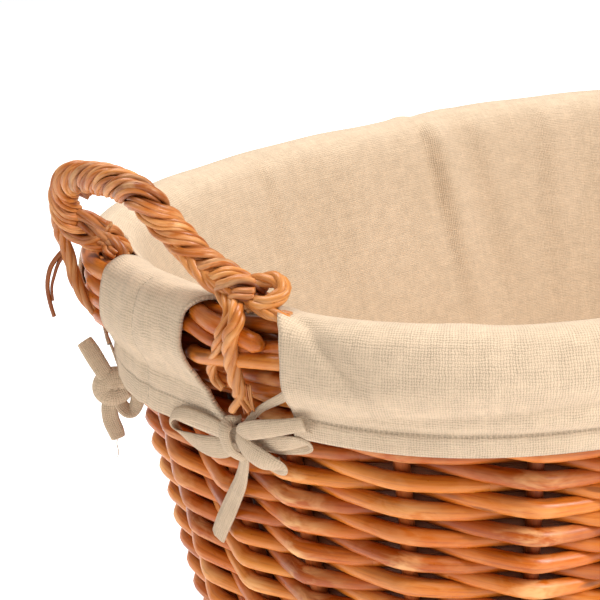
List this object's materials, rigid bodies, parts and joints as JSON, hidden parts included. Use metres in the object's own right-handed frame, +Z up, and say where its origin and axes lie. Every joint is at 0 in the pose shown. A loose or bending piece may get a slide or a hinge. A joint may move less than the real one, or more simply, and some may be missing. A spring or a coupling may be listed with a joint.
{
  "type": "laundry basket",
  "caption": "Oval woven willow laundry basket with roped ear handles at both ends and a linen liner folded over the rim and tied under the handles.",
  "frame": {"origin": "centre of the footprint, on the floor", "axes": "+X along the basket from handle to handle, +Y across it, +Z up"},
  "size_m": [0.6556, 0.443, 0.3064],
  "materials": {
    "willow_weave": "honey-stained willow rods with a soft varnish gloss",
    "willow_stakes": "darker stained willow uprights, satin",
    "willow_handle": "twisted thin willow, ridged, satin varnish",
    "liner_linen": "natural linen and cotton plain weave, matte",
    "tie_tape": "folded and stitched ties of the same linen, matte"
  },
  "bodies": {
    "root": {"foot_border": "willow_weave", "base_panel": "willow_weave", "base_stick_long_1": "willow_stakes", "base_stick_long_2": "willow_stakes", "base_stick_long_3": "willow_stakes", "base_stick_short_1": "willow_stakes", "base_stick_short_2": "willow_stakes", "base_stick_short_3": "willow_stakes", "base_stick_short_4": "willow_stakes", "upsett_wale": "willow_weave", "wall_randing": "willow_weave", "top_wale": "willow_weave", "top_border": "willow_weave", "stake_01": "willow_stakes", "stake_02": "willow_stakes", "stake_03": "willow_stakes", "stake_04": "willow_stakes", "stake_05": "willow_stakes", "stake_06": "willow_stakes", "stake_07": "willow_stakes", "stake_08": "willow_stakes", "stake_09": "willow_stakes", "stake_10": "willow_stakes", "stake_11": "willow_stakes", "stake_12": "willow_stakes", "stake_13": "willow_stakes", "stake_14": "willow_stakes", "stake_15": "willow_stakes", "stake_16": "willow_stakes", "stake_17": "willow_stakes", "stake_18": "willow_stakes", "stake_19": "willow_stakes", "stake_20": "willow_stakes", "stake_21": "willow_stakes", "stake_22": "willow_stakes", "stake_23": "willow_stakes", "stake_24": "willow_stakes", "stake_25": "willow_stakes", "stake_26": "willow_stakes", "stake_27": "willow_stakes", "stake_28": "willow_stakes", "stake_29": "willow_stakes", "handle_left_bow": "willow_handle", "handle_left_rope": "willow_handle", "handle_left_tail_near": "willow_handle", "handle_left_tail_far": "willow_handle", "handle_right_bow": "willow_handle", "handle_right_rope": "willow_handle", "handle_right_tail_near": "willow_handle", "handle_right_tail_far": "willow_handle", "liner_base_panel": "liner_linen", "liner_wall_panel": "liner_linen", "liner_cuff_front": "liner_linen", "liner_cuff_rear": "liner_linen", "liner_tab_left": "liner_linen", "liner_tab_right": "liner_linen", "tie_bow_left_near": "tie_tape", "tie_bow_left_far": "tie_tape", "tie_bow_right_near": "tie_tape", "tie_bow_right_far": "tie_tape"}
  },
  "joints": []
}
